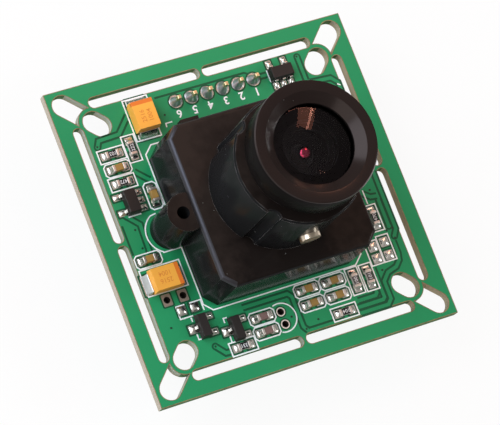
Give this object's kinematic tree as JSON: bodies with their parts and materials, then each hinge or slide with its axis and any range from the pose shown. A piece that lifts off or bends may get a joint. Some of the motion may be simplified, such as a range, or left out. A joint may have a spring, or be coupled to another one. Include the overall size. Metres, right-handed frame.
{
  "type": "board camera module",
  "caption": "Square green circuit board with a break-away frame, a black moulded lens holder and a screw-in wide-angle lens, small parts round it and a pin header behind.",
  "frame": {"origin": "centre of the four corner slots on the board's back face", "axes": "+Z out of the board through the lens, +Y towards the edge with the pin header, +X to the right seen from the lens side"},
  "size_m": [0.038, 0.038, 0.03],
  "materials": {
    "solder_mask": "smooth green coating",
    "black_plastic": "fine satin moulding",
    "black_metal": "black anodised",
    "optical_glass": "coated",
    "steel": "bright",
    "solder": "bright tin",
    "header_plastic": "natural white",
    "pin_metal": "tin-plated",
    "resistor_ceramic": "dark glaze",
    "capacitor_ceramic": "tan",
    "tantalum_case": "moulded orange",
    "chip_plastic": "moulded black",
    "sensor_ceramic": "plain"
  },
  "bodies": {
    "board_assembly": {"back_capacitor_1": "capacitor_ceramic", "back_capacitor_2": "capacitor_ceramic", "back_capacitor_3": "capacitor_ceramic", "back_capacitor_4": "capacitor_ceramic", "back_capacitor_5": "capacitor_ceramic", "back_capacitor_end_caps": "solder", "bare_pad_solder": "solder", "chip_capacitor_1": "capacitor_ceramic", "chip_capacitor_2": "capacitor_ceramic", "chip_capacitor_3": "capacitor_ceramic", "chip_capacitor_4": "capacitor_ceramic", "chip_capacitor_5": "capacitor_ceramic", "chip_capacitor_6": "capacitor_ceramic", "chip_capacitor_7": "capacitor_ceramic", "chip_capacitor_8": "capacitor_ceramic", "chip_capacitor_9": "capacitor_ceramic", "chip_capacitor_end_caps": "solder", "chip_resistor_1": "resistor_ceramic", "chip_resistor_2": "resistor_ceramic", "chip_resistor_3": "resistor_ceramic", "chip_resistor_4": "resistor_ceramic", "chip_resistor_5": "resistor_ceramic", "chip_resistor_6": "resistor_ceramic", "chip_resistor_7": "resistor_ceramic", "chip_resistor_8": "resistor_ceramic", "chip_resistor_end_caps": "solder", "circuit_board": "solder_mask", "clock_crystal": "steel", "header_pins": "pin_metal", "header_shell": "header_plastic", "header_solder_joints": "solder", "holder_screws": "steel", "image_processor": "chip_plastic", "image_processor_leads": "solder", "image_sensor": "sensor_ceramic", "infrared_filter": "optical_glass", "lens_holder": "black_plastic", "memory_chip": "chip_plastic", "memory_chip_leads": "solder", "sensor_cover_glass": "optical_glass", "set_screw": "steel", "tantalum_capacitor_1": "tantalum_case", "tantalum_capacitor_2": "tantalum_case", "tantalum_end_tabs": "solder", "transistor_1": "chip_plastic", "transistor_1_leads": "solder", "transistor_2": "chip_plastic", "transistor_2_leads": "solder", "voltage_regulator_1": "chip_plastic", "voltage_regulator_1_leads": "solder", "voltage_regulator_2": "chip_plastic", "voltage_regulator_2_leads": "solder"},
    "lens": {"lens_barrel": "black_metal", "front_glass": "optical_glass", "glass_spacer": "black_metal", "middle_glass": "optical_glass", "aperture_stop": "black_metal", "rear_glass": "optical_glass", "rear_retaining_ring": "black_metal"}
  },
  "joints": [
    {"name": "focus_travel", "type": "slide", "parent": "board_assembly", "child": "lens", "axis": [0, 0, 1], "range_m": [-0.001, 0.0015]}
  ]
}
